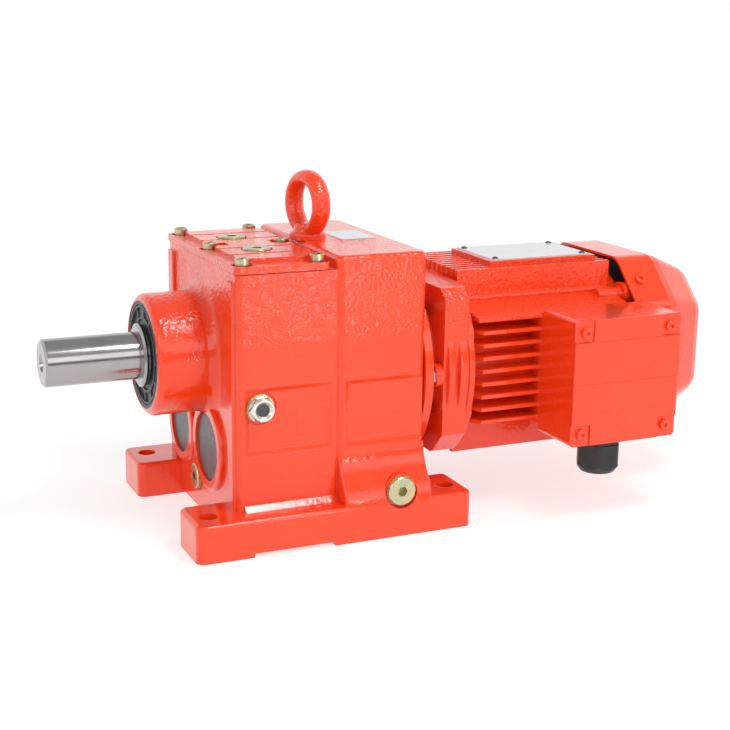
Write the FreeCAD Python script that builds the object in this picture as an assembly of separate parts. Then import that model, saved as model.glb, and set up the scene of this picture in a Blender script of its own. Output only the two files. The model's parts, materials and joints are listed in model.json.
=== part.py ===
import FreeCAD, Part
import math
import os

os.makedirs("parts", exist_ok=True)

# Foot-mounted inline helical gear unit with a flanged cage motor. Millimetres.
# +X runs from the output end to the fan, -Y faces the terminal box, +Z is up.
# The origin is the centre of the four foot holes, on the plane that the feet stand on.

V = FreeCAD.Vector
UP = V(0, 0, 1)
ALONG = V(1, 0, 0)
ACROSS = V(0, 1, 0)

# ---------------------------------------------------------------- driving dimensions
SHAFT_R = 17.5              # output shaft, 35 mm diameter
SHAFT_LEN = 70.0
SHAFT_HEIGHT = 130.0        # output axis above the feet
SHOULDER_X = -121.5         # where the output shaft's working length ends

FOOT_SPACING_X = 188.0
FOOT_SPACING_Y = 160.0
FOOT_HOLE_R = 7.0
FOOT_LENGTH = 216.0
FOOT_WIDTH = 200.0
FOOT_PAD = 47.0             # width of each foot
FOOT_THICK = 28.0

CASE_FRONT_X = -72.0
CASE_STEP_X = 3.0           # front block ends, rear block starts
CASE_REAR_X = 75.0
CASE_HALF_W = 81.0
BLOCK_HALF_W = 83.0
CASE_FLOOR_Z = 2.0
COVER_SEAT_Z = 200.2
BLOCK_TOP_Z = 209.7
WALL = 8.0
WEB_X = (-10.0, -2.0)       # inner wall that carries the rear bearing
CASE_ROOM_Z = 10.0          # inner floor

BOSS_FRONT_X = -117.5
BOSS_R = 45.5

MOTOR_AXIS_Z = 112.6
O_YZ = (0.0, SHAFT_HEIGHT)  # y and z of the output shaft's axis
M_YZ = (0.0, MOTOR_AXIS_Z)  # y and z of the motor's axis
B_YZ = (-18.5, 60.0)        # y and z of the intermediate shaft's axis
SPARE_BORE = (47.5, 60.5)   # y and z of the unused third bore
BOSS_EDGE_R = 5.5           # rounding of the boss's front edge
BOSS_ROOT_R = 9.0           # hollow where the boss grows out of the front face
CAP_RIM_W = 8.0             # raised rim round each end cap
CAP_RIM_H = 3.5
BAND_Z = (69.0, 118.5)      # recessed band on both sides
BAND_DEPTH = 2.2
BAND_SLOPE = 3.2            # width of the band's sloping borders

# gear train: module, teeth, face span along X
MODULE_1 = 1.5
Z_MOTOR = 13
Z_WHEEL_1 = 58
WHEEL_1_X = (18.0, 40.0)
PINION_1_X = (16.0, 42.0)
MODULE_2 = 2.0
Z_PINION_2 = 14
Z_WHEEL_2 = 57
WHEEL_2_X = (-46.0, -18.0)
PINION_2_X = (-48.0, -16.0)
BACKLASH = 0.45             # tooth thinning along the pitch circle, each gear
TIP = 0.92                  # addendum over module
ROOT = 1.25                 # dedendum over module
PRESSURE = math.radians(20.0)


# ---------------------------------------------------------------- small helpers
def box(x0, x1, y0, y1, z0, z1):
    return Part.makeBox(x1 - x0, y1 - y0, z1 - z0, V(x0, y0, z0))


def soft_box(x0, x1, y0, y1, z0, z1, radius, axis="z"):
    """A box whose edges along one axis are rounded."""
    solid = box(x0, x1, y0, y1, z0, z1)
    way = {"x": ALONG, "y": ACROSS, "z": UP}[axis]
    edges = [e for e in solid.Edges if abs(e.tangentAt(e.FirstParameter).dot(way)) > 0.99]
    return solid.makeFillet(radius, edges)


def rod(x0, x1, radius, yz):
    """A cylinder along X."""
    return Part.makeCylinder(radius, x1 - x0, V(x0, yz[0], yz[1]), ALONG)


def tube(x0, x1, outer, inner, yz):
    return rod(x0, x1, outer, yz).cut(rod(x0 - 1, x1 + 1, inner, yz))


def cone(x0, x1, r0, r1, yz):
    return Part.makeCone(r0, r1, x1 - x0, V(x0, yz[0], yz[1]), ALONG)


def post(x, y, z0, z1, radius):
    """A cylinder along Z."""
    return Part.makeCylinder(radius, z1 - z0, V(x, y, z0), UP)


def pin_y(x, z, y0, y1, radius):
    """A cylinder along Y."""
    return Part.makeCylinder(radius, y1 - y0, V(x, y0, z), ACROSS)


def prism_x(points, x0, x1):
    """A solid with one outline, given as (y, z) points, swept along X."""
    corners = [V(x0, y, z) for y, z in points]
    face = Part.Face(Part.makePolygon(corners + corners[:1]))
    return face.extrude(V(x1 - x0, 0, 0))


def hexagon(centre, across, height, way):
    """A hexagonal bar with its base centre, width across flats, height and axis."""
    corner = across / math.sqrt(3)
    turn = FreeCAD.Rotation(UP, way)
    ring = [centre + turn.multVec(V(corner * math.cos(k * math.pi / 3),
                                    corner * math.sin(k * math.pi / 3), 0)) for k in range(7)]
    ring[6] = ring[0]
    return Part.Face(Part.makePolygon(ring)).extrude(way * height)


def revolve_x(profile, yz):
    """A turned solid from (x, r) points, about an axis along X."""
    corners = [V(x, yz[0], yz[1] + r) for x, r in profile]
    face = Part.Face(Part.makePolygon(corners + corners[:1]))
    return face.revolve(V(0, yz[0], yz[1]), ALONG, 360)


def rounded_rod(x0, x1, radius, yz, edge_r):
    """A cylinder along X whose end at x0 is rounded."""
    solid = rod(x0, x1, radius, yz)
    ends = [e for e in solid.Edges if e.Closed and e.BoundBox.XMax < x0 + 0.01]
    return solid.makeFillet(edge_r, ends)


def pocket(x0, x1, z0, z1, face_y, depth, slope):
    """The space of a recess in a side at face_y, with sloping borders."""
    def outline(y, inset):
        corners = [V(x0 + inset, y, z0 + inset), V(x1 - inset, y, z0 + inset),
                   V(x1 - inset, y, z1 - inset), V(x0 + inset, y, z1 - inset)]
        return Part.makePolygon(corners + corners[:1])
    flare = 0.5
    return Part.makeLoft([outline(face_y - flare, -slope * flare / depth),
                          outline(face_y + depth, slope)], True, True)


def fuse(solids):
    whole = solids[0].fuse(solids[1:]) if len(solids) > 1 else solids[0]
    return whole.removeSplitter()


def cut_all(solid, tools):
    return solid.cut(tools)


def group(solids):
    return Part.makeCompound(solids)


NODES = {}


def keep(name, shape):
    NODES[name] = shape


# ---------------------------------------------------------------- fasteners
def socket_screw(base, way, head_r, head_h, shank_r, shank_len, socket):
    """A socket-head screw; base is the middle of the head's seat, way points out."""
    head = Part.makeCylinder(head_r, head_h, base, way)
    edges = [e for e in head.Edges if e.Closed and (e.CenterOfMass - base).dot(way) > head_h * 0.9]
    head = head.makeChamfer(head_h * 0.12, edges)
    shank = Part.makeCylinder(shank_r, shank_len, base - way * shank_len, way)
    well = hexagon(base + way * (head_h * 0.45), socket, head_h, way)
    return head.fuse(shank).cut(well)


def screw_plug(base, way, disc_r, disc_h, thread_r, thread_len, socket):
    """A flanged screw plug with a hexagon socket."""
    disc = Part.makeCylinder(disc_r, disc_h, base, way)
    edges = [e for e in disc.Edges if e.Closed and (e.CenterOfMass - base).dot(way) > disc_h * 0.9]
    disc = disc.makeChamfer(disc_h * 0.3, edges)
    thread = Part.makeCylinder(thread_r, thread_len, base - way * thread_len, way)
    well = hexagon(base - way * thread_len * 0.5, socket, thread_len + disc_h, way)
    return disc.fuse(thread).cut(well)


def hex_nut(base, way, across, height, hole_r):
    nut = hexagon(base, across, height, way)
    bevel = Part.makeCone(across * 0.5 + height, across * 0.5 - 0.4, height + 0.4, base, way)
    nut = nut.common(bevel)
    return nut.cut(Part.makeCylinder(hole_r, height * 3, base - way * height, way))


# ---------------------------------------------------------------- gears
def helix_angle(module, teeth_sum, distance):
    """The helix angle that closes a gear pair on its centre distance."""
    return math.acos(module * teeth_sum / (2 * distance))


def tooth_outline(teeth, module, beta):
    """One closed wire of involute teeth in the XY plane, a tooth centred on +X."""
    lean = math.cos(beta)
    pitch_r = teeth * module / (2 * lean)
    angle = math.atan(math.tan(PRESSURE) / lean)
    base_r = pitch_r * math.cos(angle)
    tip_r = pitch_r + TIP * module
    root_r = pitch_r - ROOT * module
    start_r = max(base_r, root_r)
    half = math.pi / (2 * teeth) - BACKLASH / (2 * pitch_r) + math.tan(angle) - angle
    steps = 5

    def spread(radius):
        roll = math.acos(min(1.0, base_r / radius))
        return half - (math.tan(roll) - roll)

    def at(radius, phi):
        return V(radius * math.cos(phi), radius * math.sin(phi), 0)

    def flank(phi, side):
        radii = [start_r + (tip_r - start_r) * i / (steps - 1) for i in range(steps)]
        return [at(r, phi + side * spread(r)) for r in radii]

    def curve(points):
        line = Part.BSplineCurve()
        line.interpolate(points)
        return line.toShape()

    edges = []
    undercut = root_r < start_r - 0.01
    floor_r = root_r if undercut else start_r
    foot = spread(start_r)
    for k in range(teeth):
        phi = 2 * math.pi * k / teeth
        after = 2 * math.pi * (k + 1) / teeth
        rise = flank(phi, -1)
        fall = flank(phi, 1)[::-1]
        begin = at(floor_r, phi - foot) if undercut else rise[0]
        end = at(floor_r, phi + foot) if undercut else fall[-1]
        following = at(floor_r, after - foot) if undercut else flank(after, -1)[0]
        if undercut:
            edges.append(Part.makeLine(begin, rise[0]))
        edges.append(curve(rise))
        edges.append(Part.Arc(rise[-1], at(tip_r, phi), fall[0]).toShape())
        edges.append(curve(fall))
        if undercut:
            edges.append(Part.makeLine(fall[-1], end))
        edges.append(Part.Arc(end, at(floor_r, (phi + after) / 2), following).toShape())
    return Part.Wire(edges), pitch_r


def helical_gear(teeth, module, beta, hand, span, mesh_x, turn, yz):
    """A helical gear about an X axis. At mesh_x a tooth points at the angle turn."""
    wire, pitch_r = tooth_outline(teeth, module, beta)
    width = span[1] - span[0]
    rate = hand * math.tan(beta) / pitch_r
    spine = Part.makeHelix(2 * math.pi / abs(rate), width, 10.0, 0, rate < 0)
    sweep = Part.BRepOffsetAPI.MakePipeShell(spine)
    sweep.setFrenetMode(True)
    sweep.add(wire, False, False)
    sweep.build()
    sweep.makeSolid()
    gear = sweep.shape()
    start = turn + rate * (span[0] - mesh_x)
    gear.rotate(V(0, 0, 0), UP, math.degrees(start))
    # the wire's +X becomes +Y and its +Y becomes +Z, so its axis lies along +X
    gear.rotate(V(0, 0, 0), V(1, 1, 1), 120)
    gear.translate(V(span[0], yz[0], yz[1]))
    return gear


def centre_line(first, second):
    """Distance and direction, in the YZ plane, from one axis to another."""
    dy = second[0] - first[0]
    dz = second[1] - first[1]
    return math.hypot(dy, dz), math.atan2(dz, dy)


# ---------------------------------------------------------------- ball bearings
BALL_SHARE = 0.198          # ball diameter over the ball circle's diameter
BALL_GAP = 0.12


def bearing(x0, x1, bore_r, outer_r, yz, balls):
    """Outer ring, inner ring and a list of balls with their cage."""
    mid = (x0 + x1) / 2
    circle_r = (bore_r + outer_r) / 2
    ball_r = circle_r * BALL_SHARE
    land = ball_r * 0.45
    centre = V(mid, yz[0], yz[1])
    track = Part.makeTorus(circle_r, ball_r + BALL_GAP, centre, ALONG)
    outer = tube(x0, x1, outer_r, circle_r + land, yz).cut(track)
    inner = tube(x0, x1, circle_r - land, bore_r, yz).cut(track)
    rolling = []
    pockets = []
    for k in range(balls):
        phi = 2 * math.pi * k / balls
        outward = V(0, math.cos(phi), math.sin(phi))
        rolling.append(Part.makeSphere(ball_r, centre + outward * circle_r))
        start = centre + outward * (circle_r - ball_r)
        pockets.append(Part.makeCylinder(ball_r + BALL_GAP, 2 * ball_r, start, outward))
    half = ball_r * 1.2
    cage = tube(mid - half, mid + half, circle_r + land * 0.55, circle_r - land * 0.55, yz)
    cage = cage.cut(pockets)
    return outer, inner, rolling + cage.Solids


# ---------------------------------------------------------------- gear case
FRONT_BEARING_X = (-106.0, -88.0)       # 40 x 80 x 18
FRONT_BEARING_R = (20.0, 40.0)
REAR_BEARING_X = (-10.0, 7.0)           # 35 x 72 x 17
REAR_BEARING_R = (17.5, 36.0)
INTER_FRONT_X = (-68.0, -53.0)          # 25 x 52 x 15
INTER_REAR_X = (56.0, 71.0)
INTER_BEARING_R = (12.5, 26.0)
SPARE_R = 23.5
MOTOR_SPIGOT_R = 28.0
COVER_SCREW_X = (-64.5, -8.5)
COVER_SCREW_Y = (-72.0, 0.0, 72.0)
EYE_X = 13.0
SIGHT_XZ = (-54.0, 103.5)
FLARE_Z = (22.0, 66.0)      # where the S of the rear block's side ends and starts
FLARE_EDGE_R = 3.0
DRAIN_XZ = (49.6, 34.3)
DRAIN_SEAT_Y = -95.5
DRAIN_SPOT_R = 12.8
SIGHT_SEAT = 3.0            # depth of the sight glass's spot face below the side
SIGHT_SPOT_R = 12.2
SIGHT_ACROSS = 17.0         # width across the flats
SIGHT_FLANGE_R = 9.8
SIGHT_WASHER_R = 10.4
SIGHT_LENS_R = 4.8
FRONT_PLUG_YZ = (12.0, 27.5)
PLUG_THREAD_R = 6.5
ADAPTER_SCREW_R = 66.0
ADAPTER_ANGLES = (45.0, 135.0, 205.0, 335.0)


def both_sides(make):
    """Builds a feature on the -Y side and its mirror on the +Y side."""
    near = make()
    far = near.mirror(V(0, 0, 0), ACROSS)
    return [near, far]


def foot_pad():
    half_w = FOOT_WIDTH / 2
    pad = soft_box(-FOOT_LENGTH / 2, FOOT_LENGTH / 2, -half_w, -half_w + FOOT_PAD,
                   0, FOOT_THICK, 6.0)
    tops = [e for e in pad.Edges if e.BoundBox.ZMin > FOOT_THICK - 0.01]
    pad = pad.makeFillet(3.0, tops)
    relief = box(-66, -4, -half_w - 1, -half_w + FOOT_PAD + 1, -1, 3)
    return pad.cut(relief)


def case_side_flare():
    """The rear block's side sweeps out in an S to the foot's outer side."""
    x0 = CASE_STEP_X + 2
    low, high = FLARE_Z
    bend = (high - low) * 0.45
    side, foot_side, inside = -BLOCK_HALF_W, -FOOT_WIDTH / 2, -BLOCK_HALF_W + 5
    sweep = Part.BezierCurve()
    sweep.setPoles([V(x0, side, high), V(x0, side, high - bend),
                    V(x0, foot_side, low + bend), V(x0, foot_side, low)])
    back = Part.makePolygon([V(x0, foot_side, low), V(x0, inside, low), V(x0, inside, high),
                             V(x0, side, high)])
    face = Part.Face(Part.Wire([sweep.toShape()] + back.Edges))
    flare = face.extrude(ALONG * (CASE_REAR_X - x0))
    ends = [e for e in flare.Edges if isinstance(e.Curve, Part.BezierCurve)
            or isinstance(e.Curve, Part.BSplineCurve)]
    return flare.makeFillet(FLARE_EDGE_R, ends)


def drain_boss():
    """The round land that the drain plug seats on."""
    return pin_y(DRAIN_XZ[0], DRAIN_XZ[1], DRAIN_SEAT_Y, -BLOCK_HALF_W + 2, DRAIN_SPOT_R)


def boss_root():
    """The hollow ring that blends the boss into the front face."""
    x0 = CASE_FRONT_X - BOSS_ROOT_R
    x1 = CASE_FRONT_X + 1
    inner = BOSS_R - 1
    outer = BOSS_R + BOSS_ROOT_R
    reach = BOSS_ROOT_R * (1 - math.cos(math.pi / 4))

    def at(x, r):
        return V(x, O_YZ[0], O_YZ[1] + r)

    middle = at(CASE_FRONT_X - reach, BOSS_R + reach)
    arc = Part.Arc(at(x0, BOSS_R), middle, at(CASE_FRONT_X, outer))
    straight = Part.makePolygon([at(CASE_FRONT_X, outer), at(x1, outer), at(x1, inner),
                                 at(x0, inner), at(x0, BOSS_R)])
    face = Part.Face(Part.Wire([arc.toShape()] + straight.Edges))
    return face.revolve(at(0, 0), ALONG, 360)


def cap_rims():
    rims = []
    for radius, yz in ((INTER_BEARING_R[1], B_YZ), (SPARE_R, SPARE_BORE)):
        rim_r = radius + CAP_RIM_W
        rims.append(rounded_rod(CASE_FRONT_X - CAP_RIM_H, CASE_FRONT_X + 1, rim_r, yz, 2.5))
    return rims


def front_corner_rib():
    """The raised strip down each front corner."""
    return soft_box(CASE_FRONT_X - 2.2, CASE_FRONT_X + 2, -CASE_HALF_W + 4, -CASE_HALF_W + 17,
                    FOOT_THICK - 4, COVER_SEAT_Z - 6, 1.8, "z")


def foot_root():
    """The sloping strip where the front block's side meets the top of the foot."""
    size = 4.0
    strip = [(-CASE_HALF_W + 1, FOOT_THICK + size), (-CASE_HALF_W, FOOT_THICK + size),
             (-CASE_HALF_W - size, FOOT_THICK), (-CASE_HALF_W + 1, FOOT_THICK - 1)]
    return prism_x(strip, CASE_FRONT_X + 5, CASE_STEP_X + 4)


def case_outside():
    front = soft_box(CASE_FRONT_X, CASE_STEP_X + 4, -CASE_HALF_W, CASE_HALF_W,
                     CASE_FLOOR_Z, COVER_SEAT_Z, 4.5)
    block = soft_box(CASE_STEP_X, CASE_REAR_X, -BLOCK_HALF_W, BLOCK_HALF_W,
                     CASE_FLOOR_Z, BLOCK_TOP_Z, 7.0)
    top_rim = [e for e in block.Edges if e.BoundBox.ZMin > BLOCK_TOP_Z - 0.01]
    block = block.makeFillet(4.0, top_rim)
    boss = rounded_rod(BOSS_FRONT_X, CASE_FRONT_X + 1, BOSS_R, O_YZ, BOSS_EDGE_R)
    root_trim = box(CASE_FRONT_X - 20, CASE_FRONT_X + 2, -CASE_HALF_W, CASE_HALF_W,
                    CASE_FLOOR_Z, COVER_SEAT_Z)
    solids = [front, block, boss, boss_root().common(root_trim), drain_boss()] + cap_rims()
    for make in (foot_pad, case_side_flare, foot_root, front_corner_rib):
        solids += both_sides(make)
    return fuse(solids)


def side_bands():
    """The recessed band on each side of the front block and the rear block."""
    low, high = BAND_Z
    front = pocket(CASE_FRONT_X + 6, CASE_STEP_X - 2, low, high, -CASE_HALF_W, BAND_DEPTH, BAND_SLOPE)
    rear = pocket(CASE_STEP_X + 7, CASE_REAR_X + 20, low - 1, high, -BLOCK_HALF_W,
                  BAND_DEPTH, BAND_SLOPE)
    return [front, rear]


def case_inside():
    """Everything that is hollow in the case, apart from the round bores."""
    inner = CASE_HALF_W - WALL
    front_room = box(CASE_FRONT_X + WALL, WEB_X[0], -inner, inner, CASE_ROOM_Z, COVER_SEAT_Z + 1)
    rear_room = box(WEB_X[1], CASE_REAR_X - WALL, -inner, inner, CASE_ROOM_Z, BLOCK_TOP_Z - 11)
    return [front_room, rear_room]


def inner_bosses():
    """Bearing seats inside the case."""
    front_seat = rod(CASE_FRONT_X + WALL - 1, INTER_FRONT_X[1], INTER_BEARING_R[1] + 5, B_YZ)
    rear_seat = rod(INTER_REAR_X[0], CASE_REAR_X - WALL + 1, INTER_BEARING_R[1] + 5, B_YZ)
    web_seat = rod(REAR_BEARING_X[0], REAR_BEARING_X[1] + 2, REAR_BEARING_R[1] + 6, O_YZ)
    eye_boss = post(EYE_X, 0, BLOCK_TOP_Z - 26, BLOCK_TOP_Z - WALL, 12)
    spare_seat = rod(CASE_FRONT_X + WALL - 1, CASE_FRONT_X + 14, SPARE_R + 4, SPARE_BORE)
    return [front_seat, rear_seat, web_seat, eye_boss, spare_seat]


def cover_screw_places():
    return [(x, y) for x in COVER_SCREW_X for y in COVER_SCREW_Y]


def case_bores():
    bores = [
        rod(BOSS_FRONT_X - 1, FRONT_BEARING_X[1], FRONT_BEARING_R[1], O_YZ),
        rod(FRONT_BEARING_X[1] - 1, CASE_FRONT_X + WALL + 1, FRONT_BEARING_R[1] - 5, O_YZ),
        rod(REAR_BEARING_X[0] - 1, REAR_BEARING_X[1], REAR_BEARING_R[1], O_YZ),
        rod(REAR_BEARING_X[0] - 1, REAR_BEARING_X[1] + 3, REAR_BEARING_R[1] - 4, O_YZ),
        rod(CASE_FRONT_X - 5, INTER_FRONT_X[1], INTER_BEARING_R[1], B_YZ),
        rod(-20, 12, 17.5, B_YZ),
        rod(INTER_REAR_X[0] - 1, INTER_REAR_X[1], INTER_BEARING_R[1], B_YZ),
        rod(CASE_FRONT_X - 5, CASE_FRONT_X + 15, SPARE_R, SPARE_BORE),
        rod(CASE_REAR_X - WALL - 1, CASE_REAR_X + 1, MOTOR_SPIGOT_R, M_YZ),
        post(EYE_X, 0, BLOCK_TOP_Z - 24, BLOCK_TOP_Z + 1, 6.0),
        pin_y(SIGHT_XZ[0], SIGHT_XZ[1], -CASE_HALF_W - 1, -CASE_HALF_W + WALL + 1, PLUG_THREAD_R),
        pin_y(SIGHT_XZ[0], SIGHT_XZ[1], -CASE_HALF_W - 3, -CASE_HALF_W + SIGHT_SEAT, SIGHT_SPOT_R),
        pin_y(DRAIN_XZ[0], DRAIN_XZ[1], DRAIN_SEAT_Y - 1, -CASE_HALF_W + WALL + 1, PLUG_THREAD_R),
        pin_y(DRAIN_XZ[0], DRAIN_XZ[1], -FOOT_WIDTH, DRAIN_SEAT_Y, DRAIN_SPOT_R),
        rod(CASE_FRONT_X - 3, CASE_FRONT_X + WALL + 1, PLUG_THREAD_R, FRONT_PLUG_YZ),
        rod(CASE_FRONT_X - 3, CASE_FRONT_X + 0.4, 11.5, FRONT_PLUG_YZ),
    ]
    for x in (-FOOT_SPACING_X / 2, FOOT_SPACING_X / 2):
        for y in (-FOOT_SPACING_Y / 2, FOOT_SPACING_Y / 2):
            bores.append(post(x, y, -1, FOOT_THICK + 1, FOOT_HOLE_R))
    for x, y in cover_screw_places():
        bores.append(post(x, y, COVER_SEAT_Z - 14, COVER_SEAT_Z + 1, 3.0))
    for angle in ADAPTER_ANGLES:
        bores.append(rod(CASE_REAR_X - 14, CASE_REAR_X + 1, 3.4, around(M_YZ, ADAPTER_SCREW_R, angle)))
    return bores


def around(yz, radius, degrees):
    """A point in the YZ plane at a radius and angle from an axis."""
    phi = math.radians(degrees)
    return (yz[0] + radius * math.cos(phi), yz[1] + radius * math.sin(phi))


def screw_lands():
    """Metal left under the cover screws and behind the adapter screws."""
    lands = []
    inner = CASE_HALF_W - WALL
    for x, y in cover_screw_places():
        lands.append(post(x, y, COVER_SEAT_Z - 18, COVER_SEAT_Z, 6.5))
    for angle in ADAPTER_ANGLES:
        lands.append(rod(CASE_REAR_X - 16, CASE_REAR_X - WALL + 1, 7.5,
                         around(M_YZ, ADAPTER_SCREW_R, angle)))
    room = box(CASE_FRONT_X + 1, CASE_REAR_X - 1, -inner - 2, inner + 2, 8, COVER_SEAT_Z)
    return [land.common(room) for land in lands]


def make_gear_case():
    shell = cut_all(case_outside(), case_inside())
    shell = fuse([shell] + inner_bosses() + screw_lands())
    near_bands = side_bands()
    far_bands = [band.mirror(V(0, 0, 0), ACROSS) for band in near_bands]
    shell = cut_all(shell, near_bands + far_bands + case_bores())
    keep("gear_case", shell)


# ---------------------------------------------------------------- cover, plugs and eye bolt
COVER_GASKET = 0.6
COVER_PLATE = 5.2
COVER_RIB = 3.0
COVER_PAD_HALF = 30.0       # half width of each raised pad
COVER_PLUG_XY = ((-38.0, 28.5), (-38.0, -28.5))
COVER_BASE_Z = COVER_SEAT_Z + COVER_GASKET
COVER_TOP_Z = COVER_BASE_Z + COVER_PLATE
COVER_X = (CASE_FRONT_X - 1.0, CASE_STEP_X - 4.5)
SCREW_SINK = 1.6


def make_cover():
    plate = soft_box(COVER_X[0], COVER_X[1], -CASE_HALF_W - 0.6, CASE_HALF_W + 0.6,
                     COVER_BASE_Z, COVER_TOP_Z, 4.0)
    solids = [plate]
    for y in (-36.0, 36.0):
        pad = soft_box(COVER_X[0] + 9, COVER_X[1] - 1, y - COVER_PAD_HALF, y + COVER_PAD_HALF,
                       COVER_TOP_Z - 1, COVER_TOP_Z + COVER_RIB, 5.0)
        solids.append(pad)
    bridge = box(COVER_X[0] + 22, COVER_X[1] - 16, -14, 14, COVER_TOP_Z - 1,
                 COVER_TOP_Z + COVER_RIB)
    cover = fuse(solids + [bridge])
    tools = []
    for y in (-46.5, -19.0, 19.0, 46.5):
        tools.append(soft_box(COVER_X[0] + 1, COVER_X[1] - 1, y - 1.6, y + 1.6,
                              COVER_TOP_Z + 0.8, COVER_TOP_Z + 9, 1.5, "x"))
    for x, y in cover_screw_places():
        pocket_r = 7.4 if x == COVER_SCREW_X[0] else 9.0
        tools.append(post(x, y, COVER_BASE_Z - 1, COVER_TOP_Z + 9, 3.3))
        tools.append(post(x, y, COVER_TOP_Z - SCREW_SINK, COVER_TOP_Z + 9, pocket_r))
    for x, y in COVER_PLUG_XY:
        tools.append(post(x, y, COVER_TOP_Z + 0.4, COVER_TOP_Z + 9, 11.8))
        tools.append(post(x, y, COVER_BASE_Z - 1, COVER_TOP_Z + 9, PLUG_THREAD_R))
    keep("inspection_cover", cut_all(cover, tools))

    gasket = box(CASE_FRONT_X + 1, CASE_STEP_X - 5, -CASE_HALF_W + 1, CASE_HALF_W - 1,
                 COVER_SEAT_Z, COVER_BASE_Z)
    window = box(CASE_FRONT_X + WALL, -WALL - 2, -CASE_HALF_W + WALL, CASE_HALF_W - WALL,
                 COVER_SEAT_Z - 1, COVER_BASE_Z + 1)
    around_screws = [post(x, y, COVER_SEAT_Z, COVER_BASE_Z, 6.5) for x, y in cover_screw_places()]
    around_screws = [a.common(gasket) for a in around_screws]
    holes = [post(x, y, COVER_SEAT_Z - 1, COVER_BASE_Z + 1, 3.3) for x, y in cover_screw_places()]
    gasket = fuse([gasket.cut(window)] + around_screws)
    keep("cover_gasket", cut_all(gasket, holes))

    screws = []
    for x, y in cover_screw_places():
        seat = V(x, y, COVER_TOP_Z - SCREW_SINK)
        screws.append(socket_screw(seat, UP, 5.2, 6.6, 3.0, 16.0, 5.0))
    keep("cover_screws", group(screws))

    for name, (x, y) in zip(("vent_plug", "filler_plug"), COVER_PLUG_XY):
        seat = V(x, y, COVER_TOP_Z + 1.2)
        keep(name, screw_plug(seat, UP, 10.6, 2.8, PLUG_THREAD_R, 9.0, 7.0))


EYE_RING_R = 20.0
EYE_WIRE = (5.6, 7.4)       # half thickness of the ring across and along its axis
EYE_TOP = 52.0              # top of the ring above the block
EYE_TWIST = 9.0


def make_eye_bolt():
    centre = V(EYE_X, 0, BLOCK_TOP_Z + EYE_TOP - EYE_RING_R - EYE_WIRE[0])
    section = Part.Ellipse(V(0, 0, EYE_RING_R), EYE_WIRE[1], EYE_WIRE[0]).toShape()
    section.rotate(V(0, 0, EYE_RING_R), ALONG, 90)
    ring = Part.Face(Part.Wire([section])).revolve(V(0, 0, 0), ALONG, 360)
    ring.rotate(V(0, 0, 0), UP, EYE_TWIST)
    ring.translate(centre)
    collar = post(EYE_X, 0, BLOCK_TOP_Z, BLOCK_TOP_Z + 5.5, 14.0)
    collar_edge = [e for e in collar.Edges if e.Closed and e.BoundBox.ZMin > BLOCK_TOP_Z + 5]
    collar = collar.makeFillet(2.2, collar_edge)
    neck = Part.makeCone(12.6, 8.5, 9.0, V(EYE_X, 0, BLOCK_TOP_Z + 3), UP)
    thread = post(EYE_X, 0, BLOCK_TOP_Z - 20, BLOCK_TOP_Z + 1, 6.0)
    keep("eye_bolt", fuse([ring, collar, neck, thread]))


def make_case_plugs():
    side = V(0, -1, 0)
    washer = 1.5
    x, z = SIGHT_XZ
    seat_y = -CASE_HALF_W + SIGHT_SEAT
    base_y = seat_y - washer
    nut = hexagon(V(x, base_y, z), SIGHT_ACROSS, 7.5, side)
    bevel = Part.makeCone(SIGHT_ACROSS * 0.82, SIGHT_ACROSS * 0.46, 7.5, V(x, base_y, z), side)
    flange = pin_y(x, z, base_y - 2.2, base_y, SIGHT_FLANGE_R)
    thread = pin_y(x, z, base_y, seat_y + WALL - 1, PLUG_THREAD_R)
    window = pin_y(x, z, base_y - 9, base_y - 1.5, SIGHT_LENS_R)
    mouth = Part.makeCone(SIGHT_LENS_R, SIGHT_LENS_R + 1.8, 1.9, V(x, base_y - 5.7, z), side)
    passage = pin_y(x, z, base_y - 9, base_y + 12, 3.6)
    body = fuse([nut.common(bevel), flange, thread])
    keep("sight_glass_body", cut_all(body, [window, mouth, passage]))
    keep("sight_glass_lens", pin_y(x, z, base_y - 4.2, base_y - 1.5, SIGHT_LENS_R))

    drain_seat = V(DRAIN_XZ[0], DRAIN_SEAT_Y - washer, DRAIN_XZ[1])
    keep("drain_plug", screw_plug(drain_seat, side, 11.0, 2.6, PLUG_THREAD_R, 9.5, 7.0))
    front_seat = V(CASE_FRONT_X + 0.4 - washer, FRONT_PLUG_YZ[0], FRONT_PLUG_YZ[1])
    keep("front_plug", screw_plug(front_seat, V(-1, 0, 0), 9.8, 2.6, PLUG_THREAD_R, 8.0, 6.0))

    washers = [
        pin_y(x, z, base_y, seat_y, SIGHT_WASHER_R).cut(
            pin_y(x, z, base_y - 1, seat_y + 1, PLUG_THREAD_R)),
        pin_y(DRAIN_XZ[0], DRAIN_XZ[1], DRAIN_SEAT_Y - washer, DRAIN_SEAT_Y, 11.4).cut(
            pin_y(DRAIN_XZ[0], DRAIN_XZ[1], DRAIN_SEAT_Y - 3, DRAIN_SEAT_Y + 1, PLUG_THREAD_R)),
        tube(CASE_FRONT_X + 0.4 - washer, CASE_FRONT_X + 0.4, 10.2, PLUG_THREAD_R, FRONT_PLUG_YZ),
    ]
    for x, y in COVER_PLUG_XY:
        washers.append(post(x, y, COVER_TOP_Z + 0.4, COVER_TOP_Z + 1.2, 10.9).cut(
            post(x, y, COVER_TOP_Z, COVER_TOP_Z + 2, PLUG_THREAD_R)))
    keep("plug_washers", group(washers))


CAP_FACE_X = CASE_FRONT_X - 1.4


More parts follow.
